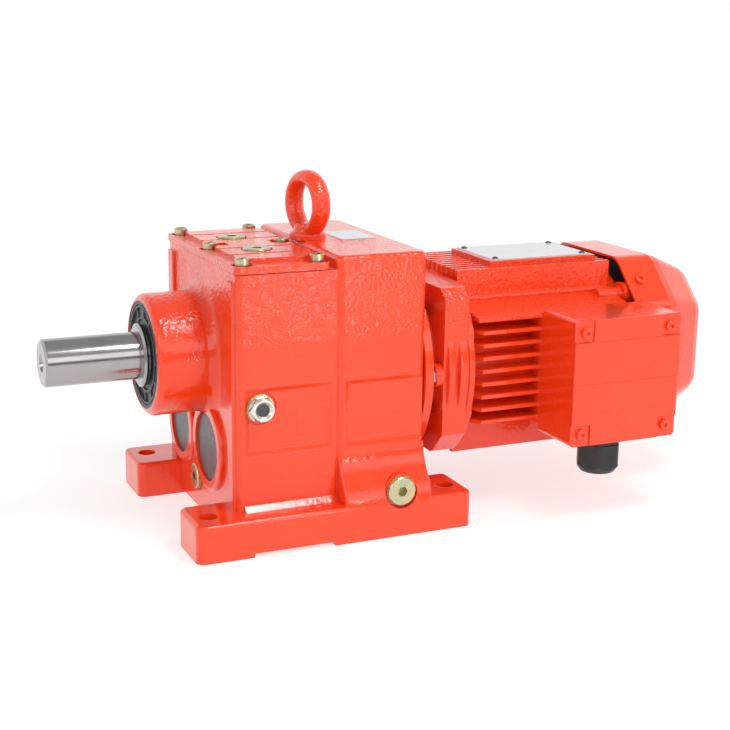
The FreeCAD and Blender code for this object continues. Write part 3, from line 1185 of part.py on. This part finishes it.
def make_gland():
    top = GLAND_TOP_Z
    body = post(GLAND_X, GLAND_Y, top - 9, top + TBOX_WALL + 6, 12.0)
    wings = hexagon(V(GLAND_X, GLAND_Y, top - 5), 30.0, 5.0, UP)
    body = body.fuse(wings).cut(post(GLAND_X, GLAND_Y, top - 30, top + 20, 9.0)).removeSplitter()
    keep("gland_body", body)
    skirt = hexagon(V(GLAND_X, GLAND_Y, top - 21), 31.0, 15.8, UP)
    round_off = Part.makeCone(13.4, 18.5, 7.0, V(GLAND_X, GLAND_Y, top - 28), UP)
    nut = skirt.common(post(GLAND_X, GLAND_Y, top - 21, top - 5.2, 17.2)).fuse(
        round_off.common(hexagon(V(GLAND_X, GLAND_Y, top - 28), 31.0, 8.0, UP)))
    nut = nut.cut([post(GLAND_X, GLAND_Y, top - 22, top, 12.0),
                   post(GLAND_X, GLAND_Y, top - 30, top, 9.0)]).removeSplitter()
    keep("gland_nut", nut)
    insert = post(GLAND_X, GLAND_Y, top - 26, top - 9, 9.0).cut(
        post(GLAND_X, GLAND_Y, top - 40, top + 30, CABLE_R))
    keep("gland_seal", insert)


# ---------------------------------------------------------------- plates
def make_plates():
    gear_plate = box(34.0, 62.0, -18.0, 22.0, BLOCK_TOP_Z, BLOCK_TOP_Z + 0.8)
    keep("gear_plate", gear_plate)
    x0, x1 = MOTOR_PLATE_X
    plate = box(x0, x1, -MOTOR_PLATE_HALF, MOTOR_PLATE_HALF, PAD_TOP_Z, PAD_TOP_Z + 0.8)
    corners = [(x, y) for x in (x0 + 4, x1 - 4) for y in (-MOTOR_PLATE_HALF + 4,
                                                          MOTOR_PLATE_HALF - 4)]
    holes = [post(x, y, PAD_TOP_Z - 1, PAD_TOP_Z + 2, 1.5) for x, y in corners]
    keep("motor_plate", plate.cut(holes))
    rivets = []
    for x, y in corners:
        pin = post(x, y, PAD_TOP_Z, PAD_TOP_Z + 1.0, 1.5)
        head = Part.makeSphere(3.2, V(x, y, PAD_TOP_Z - 0.9)).common(
            box(x - 5, x + 5, y - 5, y + 5, PAD_TOP_Z + 0.8, PAD_TOP_Z + 5))
        rivets.append(pin.fuse(head).removeSplitter())
    keep("plate_rivets", group(rivets))


# ---------------------------------------------------------------- bearings on each line
def make_bearings():
    lines = {
        "output": [(FRONT_BEARING_X, FRONT_BEARING_R, 10), (REAR_BEARING_X, REAR_BEARING_R, 10)],
        "intermediate": [(INTER_FRONT_X, INTER_BEARING_R, 9), (INTER_REAR_X, INTER_BEARING_R, 9)],
        "motor": [(MOTOR_FRONT_BEARING_X, MOTOR_BEARING_R, 8),
                  (MOTOR_REAR_BEARING_X, MOTOR_BEARING_R, 8)],
    }
    axes = {"output": O_YZ, "intermediate": B_YZ, "motor": M_YZ}
    for line, places in lines.items():
        outers, inners, balls = [], [], []
        for span, radii, count in places:
            outer, inner, rolling = bearing(span[0], span[1], radii[0], radii[1], axes[line], count)
            outers.append(outer)
            inners.append(inner)
            balls += rolling
        keep(line + "_bearing_outer_rings", group(outers))
        keep(line + "_bearing_inner_rings", group(inners))
        keep(line + "_bearing_balls", group(balls))


make_gear_case()
make_cover()
make_eye_bolt()
make_case_plugs()
make_caps()
make_output_seal()
make_output_line()
make_gears()
make_adapter()
make_front_shield()
make_stator_housing()
make_stator_and_rotor()
make_fan()
make_rear_shield()
make_cowl()
make_terminal_box()
make_gland()
make_plates()
make_bearings()

for node, shape in NODES.items():
    shape.exportStep("parts/" + node + ".step")
    print(node, len(shape.Solids), round(shape.Volume, 1), shape.isValid())
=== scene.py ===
import json
import math

import bpy
from mathutils import Matrix, Vector

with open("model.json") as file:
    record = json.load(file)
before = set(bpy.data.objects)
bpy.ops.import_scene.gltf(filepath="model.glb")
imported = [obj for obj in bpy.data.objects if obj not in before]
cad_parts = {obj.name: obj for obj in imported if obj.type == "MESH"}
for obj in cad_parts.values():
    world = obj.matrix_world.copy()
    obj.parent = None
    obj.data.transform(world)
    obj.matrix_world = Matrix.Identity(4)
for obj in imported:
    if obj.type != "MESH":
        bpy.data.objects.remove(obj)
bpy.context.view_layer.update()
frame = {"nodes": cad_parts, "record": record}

# The gear reducer's looks. Metres, in the CAD frame: +X towards the fan, -Y the terminal-box side.
MM = 0.001


# ---------------------------------------------------------------- node helpers
class Shader:
    """A node tree with one Principled shader, built up by small calls."""

    def __init__(self, name, colour, rough, metal=0.0):
        self.mat = bpy.data.materials.new(name)
        self.mat.use_nodes = True
        self.tree = self.mat.node_tree
        self.bsdf = next(n for n in self.tree.nodes if n.type == "BSDF_PRINCIPLED")
        self.mat.diffuse_color = (*colour, 1.0)
        self.set("Base Color", (*colour, 1.0))
        self.set("Roughness", rough)
        self.set("Metallic", metal)
        self.coords = None

    def set(self, socket, value):
        self.bsdf.inputs[socket].default_value = value

    def node(self, kind, **inputs):
        made = self.tree.nodes.new(kind)
        for key, value in inputs.items():
            made.inputs[key.replace("_", " ")].default_value = value
        return made

    def link(self, out, into):
        self.tree.links.new(out, into)

    def place(self, scale=(1, 1, 1)):
        """Object coordinates, stretched by a scale."""
        if self.coords is None:
            self.coords = self.node("ShaderNodeTexCoord")
        stretch = self.node("ShaderNodeMapping")
        stretch.inputs["Scale"].default_value = scale
        self.link(self.coords.outputs["Object"], stretch.inputs["Vector"])
        return stretch.outputs["Vector"]

    def noise(self, scale, detail=3.0, rough=0.5, stretch=(1, 1, 1), distortion=0.0):
        made = self.node("ShaderNodeTexNoise", Scale=scale, Detail=detail, Roughness=rough,
                         Distortion=distortion)
        self.link(self.place(stretch), made.inputs["Vector"])
        return made.outputs["Fac"]

    def remap(self, value, low, high, to_low, to_high):
        made = self.node("ShaderNodeMapRange")
        made.interpolation_type = "SMOOTHSTEP"
        made.inputs["From Min"].default_value = low
        made.inputs["From Max"].default_value = high
        made.inputs["To Min"].default_value = to_low
        made.inputs["To Max"].default_value = to_high
        self.link(value, made.inputs["Value"])
        return made.outputs["Result"]

    def mix(self, factor, first, second):
        made = self.tree.nodes.new("ShaderNodeMix")
        made.data_type = "RGBA"
        self.feed(made.inputs[0], factor)
        self.feed(made.inputs[6], first)
        self.feed(made.inputs[7], second)
        return made.outputs[2]

    def rising(self, low, high, to_low, to_high):
        """A value that climbs with the height above the feet, from low to high."""
        axes = self.node("ShaderNodeSeparateXYZ")
        self.link(self.place(), axes.inputs["Vector"])
        return self.remap(axes.outputs["Z"], low, high, to_low, to_high)

    def feed(self, socket, value):
        if isinstance(value, bpy.types.NodeSocket):
            self.link(value, socket)
        elif isinstance(value, tuple) and len(value) == 3:
            socket.default_value = (*value, 1.0)
        else:
            socket.default_value = value

    def soft_edges(self, radius):
        made = self.node("ShaderNodeBevel", Radius=radius)
        made.samples = 4
        return made.outputs["Normal"]

    def bump(self, height, distance, strength=1.0, normal=None):
        made = self.node("ShaderNodeBump", Strength=strength, Distance=distance)
        self.link(height, made.inputs["Height"])
        if normal is not None:
            self.link(normal, made.inputs["Normal"])
        return made.outputs["Normal"]


# ---------------------------------------------------------------- materials
RED = (0.87, 0.052, 0.005)
RED_DEEP = (0.78, 0.036, 0.004)
ROUGH_CAST_Z = (0.144, 0.156)       # above this height the casting's skin is coarser


def paint(name, peel, grain, rough, smooth_share):
    """Gloss enamel over metal. peel is the height of the coarse skin, and smooth_share is what is
    left of it low down, where the casting was filled and rubbed flat."""
    s = Shader(name, RED, rough)
    tone = s.remap(s.noise(9.0, 4.0), 0.2, 0.8, 0.0, 0.5)
    s.link(s.mix(tone, RED, RED_DEEP), s.bsdf.inputs["Base Color"])
    spread = s.remap(s.noise(60.0, 3.0), 0.15, 0.85, rough - 0.05, rough + 0.07)
    s.link(spread, s.bsdf.inputs["Roughness"])
    s.set("Specular IOR Level", 0.15)
    s.set("Coat Weight", 1.0)
    s.set("Coat Roughness", 0.05)
    edges = s.soft_edges(0.9 * MM)
    waves = s.bump(s.noise(340.0, 2.0, 0.45), peel, 1.0, edges)
    skin = s.rising(ROUGH_CAST_Z[0], ROUGH_CAST_Z[1], smooth_share, 1.0)
    s.link(skin, waves.node.inputs["Strength"])
    s.link(s.bump(s.noise(900.0, 2.0, 0.6), grain, 1.0, waves), s.bsdf.inputs["Normal"])
    s.link(waves, s.bsdf.inputs["Coat Normal"])
    return s.mat


def turned_steel(name, colour, rough, pitch, depth):
    """Steel turned about an axis along X, with fine rings."""
    s = Shader(name, colour, rough, 1.0)
    rings = s.noise(1.0, 2.0, 0.7, (pitch, 8.0, 8.0))
    s.link(s.remap(rings, 0.3, 0.7, rough - 0.04, rough + 0.08), s.bsdf.inputs["Roughness"])
    dull = tuple(c * 0.72 for c in colour)
    s.link(s.mix(s.remap(s.noise(14.0, 4.0), 0.35, 0.7, 0.0, 0.5), colour, dull),
           s.bsdf.inputs["Base Color"])
    s.link(s.bump(rings, depth, 1.0, s.soft_edges(0.4 * MM)), s.bsdf.inputs["Normal"])
    return s.mat


def plated(name, colour, second, rough):
    """Zinc plating with a passivation that drifts from one hue to another."""
    s = Shader(name, colour, rough, 1.0)
    drift = s.remap(s.noise(120.0, 3.0, 0.5, distortion=1.2), 0.35, 0.65, 0.0, 1.0)
    s.link(s.mix(drift, colour, second), s.bsdf.inputs["Base Color"])
    s.link(s.remap(s.noise(420.0, 2.0), 0.3, 0.7, rough - 0.06, rough + 0.12),
           s.bsdf.inputs["Roughness"])
    s.link(s.bump(s.noise(1500.0, 2.0), 0.03 * MM, 1.0, s.soft_edges(0.3 * MM)),
           s.bsdf.inputs["Normal"])
    return s.mat


def moulded(name, colour, rough, grain):
    """Rubber, nylon or matt paint with a fine grain."""
    s = Shader(name, colour, rough)
    light = tuple(min(1.0, c * 1.5 + 0.004) for c in colour)
    s.link(s.mix(s.remap(s.noise(80.0, 4.0), 0.3, 0.7, 0.0, 0.6), colour, light),
           s.bsdf.inputs["Base Color"])
    s.link(s.remap(s.noise(300.0, 3.0), 0.3, 0.7, rough - 0.05, rough + 0.08),
           s.bsdf.inputs["Roughness"])
    s.link(s.bump(s.noise(1800.0, 2.0), grain, 1.0, s.soft_edges(0.4 * MM)),
           s.bsdf.inputs["Normal"])
    return s.mat


def sheet_alloy(name, colour, rough):
    """Aluminium sheet brushed along X."""
    s = Shader(name, colour, rough, 0.85)
    strokes = s.noise(1.0, 3.0, 0.6, (40.0, 2600.0, 2600.0))
    s.link(s.remap(strokes, 0.3, 0.7, rough - 0.08, rough + 0.10), s.bsdf.inputs["Roughness"])
    s.link(s.bump(strokes, 0.02 * MM), s.bsdf.inputs["Normal"])
    return s.mat


def laminations(name):
    """Core steel in thin sheets stacked along X."""
    s = Shader(name, (0.16, 0.16, 0.17), 0.45, 0.9)
    sheets = s.noise(1.0, 1.0, 0.5, (2000.0, 3.0, 3.0))
    s.link(s.bump(sheets, 0.08 * MM), s.bsdf.inputs["Normal"])
    s.link(s.remap(sheets, 0.3, 0.7, 0.35, 0.6), s.bsdf.inputs["Roughness"])
    return s.mat


def sight_lens(name):
    """The oil glass: dark, with a clear gloss."""
    oil = (0.022, 0.017, 0.012)
    deep_oil = (0.010, 0.008, 0.006)
    s = Shader(name, oil, 0.12)
    s.set("Coat Weight", 1.0)
    s.set("Coat Roughness", 0.04)
    shade = s.remap(s.noise(160.0, 2.0), 0.3, 0.7, 0.0, 1.0)
    s.link(s.mix(shade, oil, deep_oil), s.bsdf.inputs["Base Color"])
    return s.mat


def make_materials():
    return {
        "cast_paint": paint("cast_paint", 0.85 * MM, 0.02 * MM, 0.30, 0.22),
        "sheet_paint": paint("sheet_paint", 0.07 * MM, 0.012 * MM, 0.28, 1.0),
        "turned_steel": turned_steel("turned_steel", (0.44, 0.42, 0.42), 0.13, 3200.0, 0.008 * MM),
        "gear_steel": turned_steel("gear_steel", (0.40, 0.40, 0.41), 0.36, 900.0, 0.02 * MM),
        "bearing_steel": plated("bearing_steel", (0.66, 0.66, 0.68), (0.58, 0.58, 0.60), 0.20),
        "yellow_zinc": plated("yellow_zinc", (0.66, 0.55, 0.30), (0.50, 0.52, 0.36), 0.30),
        "white_zinc": plated("white_zinc", (0.80, 0.80, 0.74), (0.66, 0.68, 0.62), 0.28),
        "grey_cap": moulded("grey_cap", (0.085, 0.080, 0.088), 0.34, 0.02 * MM),
        "seal_rubber": moulded("seal_rubber", (0.055, 0.060, 0.066), 0.42, 0.03 * MM),
        "fibre_gasket": moulded("fibre_gasket", (0.06, 0.03, 0.028), 0.7, 0.04 * MM),
        "black_nylon": moulded("black_nylon", (0.012, 0.012, 0.014), 0.38, 0.03 * MM),
        "fan_plastic": moulded("fan_plastic", (0.03, 0.03, 0.032), 0.5, 0.03 * MM),
        "block_plastic": moulded("block_plastic", (0.03, 0.03, 0.03), 0.35, 0.02 * MM),
        "plate_alloy": sheet_alloy("plate_alloy", (0.80, 0.81, 0.83), 0.34),
        "dark_rivet": plated("dark_rivet", (0.16, 0.15, 0.15), (0.10, 0.10, 0.10), 0.35),
        "core_laminations": laminations("core_laminations"),
        "copper_winding": plated("copper_winding", (0.50, 0.19, 0.07), (0.36, 0.12, 0.04), 0.35),
        "stud_brass": plated("stud_brass", (0.72, 0.50, 0.20), (0.62, 0.42, 0.16), 0.25),
        "sight_lens": sight_lens("sight_lens"),
    }


CAST_NODES = ("gear_case", "motor_adapter", "motor_front_shield", "stator_housing",
              "motor_rear_shield", "inspection_cover", "eye_bolt")


def dress_cad(materials):
    """Gives every CAD node the finish of its slot."""
    slots = {part["node"]: part["material_slot"] for part in frame["record"]["subparts"]}
    for node, obj in frame["nodes"].items():
        slot = slots[node]
        if slot == "red_paint":
            slot = "cast_paint" if node in CAST_NODES else "sheet_paint"
        if node == "plate_rivets":
            slot = "dark_rivet"
        obj.data.materials.clear()
        obj.data.materials.append(materials[slot])


# ---------------------------------------------------------------- floor, light and camera
FLOOR_SIZE = 60.0
FLOOR_ALBEDO = 0.45
FLOOR_GLOW = 0.62           # a lit sweep: it gives back more light than the room sends it
# what the room sends from each height, as (sine of the elevation, strength)
FRONT_WALL = ((0.0, 0.25), (0.18, 0.25), (0.24, 1.90), (0.52, 1.90), (0.60, 0.50), (1.0, 0.50))
OTHER_WALLS = ((0.0, 1.0), (0.50, 1.0), (0.66, 0.50), (1.0, 0.50))
FRONT_EDGE = (-0.60, -0.35)     # where the front wall gives way to the others, along Y
BRIGHTEST = 2.0                 # the strength that a ramp's white stands for
FLOOR_Z = 0.0                   # the feet stand on it


def make_stage(low):
    """A pale paper floor, wide enough to run past the picture's horizon."""
    floor_mesh = bpy.data.meshes.new("floor")
    half = FLOOR_SIZE / 2
    corners = [(-half, -half, low), (half, -half, low), (half, half, low), (-half, half, low)]
    floor_mesh.from_pydata(corners, [], [(0, 1, 2, 3)])
    floor = bpy.data.objects.new("floor", floor_mesh)
    bpy.context.scene.collection.objects.link(floor)
    s = Shader("floor_paper", (FLOOR_ALBEDO, FLOOR_ALBEDO, FLOOR_ALBEDO), 0.75)
    s.set("Emission Color", (1.0, 1.0, 1.0, 1.0))
    s.set("Emission Strength", FLOOR_GLOW)
    s.link(s.bump(s.noise(400.0, 2.0), 0.02 * MM), s.bsdf.inputs["Normal"])
    floor_mesh.materials.append(s.mat)


def area_light(name, place, aim, size, power):
    data = bpy.data.lights.new(name, "AREA")
    data.shape = "RECTANGLE"
    data.size = size[0]
    data.size_y = size[1]
    data.energy = power
    lamp = bpy.data.objects.new(name, data)
    lamp.location = place
    lamp.rotation_euler = (Vector(aim) - Vector(place)).to_track_quat("-Z", "Y").to_euler()
    lamp.visible_camera = False
    bpy.context.scene.collection.objects.link(lamp)


def make_room():
    """A white room with a wide soft box on the -Y side, a dark strip under it and a dim ceiling."""
    world = bpy.data.worlds.new("studio")
    bpy.context.scene.world = world
    world.use_nodes = True
    tree = world.node_tree
    back = next(n for n in tree.nodes if n.type == "BACKGROUND")
    direction = tree.nodes.new("ShaderNodeTexCoord")
    axes = tree.nodes.new("ShaderNodeSeparateXYZ")
    tree.links.new(direction.outputs["Generated"], axes.inputs["Vector"])

    def wall(stops):
        ramp = tree.nodes.new("ShaderNodeValToRGB")
        band = ramp.color_ramp
        for index, (height, strength) in enumerate(stops):
            if index < 2:
                stop = band.elements[index]
                stop.position = height
            else:
                stop = band.elements.new(height)
            grey = strength / BRIGHTEST
            stop.color = (grey, grey, grey, 1.0)
        tree.links.new(axes.outputs["Z"], ramp.inputs["Fac"])
        return ramp.outputs["Color"]

    facing = tree.nodes.new("ShaderNodeMapRange")
    facing.interpolation_type = "SMOOTHSTEP"
    facing.inputs["From Min"].default_value = FRONT_EDGE[0]
    facing.inputs["From Max"].default_value = FRONT_EDGE[1]
    tree.links.new(axes.outputs["Y"], facing.inputs["Value"])
    blend = tree.nodes.new("ShaderNodeMix")
    blend.data_type = "RGBA"
    tree.links.new(facing.outputs["Result"], blend.inputs[0])
    tree.links.new(wall(FRONT_WALL), blend.inputs[6])
    tree.links.new(wall(OTHER_WALLS), blend.inputs[7])
    tree.links.new(blend.outputs[2], back.inputs["Color"])
    back.inputs["Strength"].default_value = BRIGHTEST


# name, place, aim, size, watts. The key box shines on the output boss from above, the end fill
# on the shaft end, and the low card on the upper part of the case's side.
LAMPS = (
    ("key_box", (0.24, -0.48, 1.02), (0.0, -0.03, 0.16), (0.26, 0.24), 4.0),
    ("end_fill", (-1.5, -0.5, 0.8), (0.0, 0.0, 0.12), (0.6, 0.6), 2.0),
    ("low_card", (0.168, -0.60, 0.140), (-0.03, -0.081, 0.175), (0.10, 0.08), 0.26),
)


def make_light():
    make_room()
    for name, place, aim, size, power in LAMPS:
        area_light(name, place, aim, size, power)


# the camera looks from the -Y side, a little round towards the shaft end
AZIMUTH = math.radians(-24.29)
ELEVATION = math.radians(14.0)
ROLL = math.radians(0.84)
DISTANCE = 1.1274
AIM = Vector((0.0652, 0.0060, 0.1095))
LENS = 69.98
SENSOR_WIDTH = 36.0
FRAMING_SHIFT = -0.0088


def make_camera():
    data = bpy.data.cameras.new("camera")
    data.lens = LENS
    data.sensor_width = SENSOR_WIDTH
    data.shift_y = FRAMING_SHIFT
    data.clip_start = 0.01
    camera = bpy.data.objects.new("camera", data)
    turn = (Matrix.Rotation(AZIMUTH, 4, "Z") @ Matrix.Rotation(math.pi / 2 - ELEVATION, 4, "X")
            @ Matrix.Rotation(ROLL, 4, "Z"))
    back = turn.to_3x3() @ Vector((0, 0, 1))
    camera.matrix_world = Matrix.Translation(AIM + back * DISTANCE) @ turn
    bpy.context.scene.collection.objects.link(camera)
    bpy.context.scene.camera = camera


materials = make_materials()
dress_cad(materials)
make_camera()
make_light()
make_stage(FLOOR_Z)
bpy.context.scene.view_settings.view_transform = "Standard"
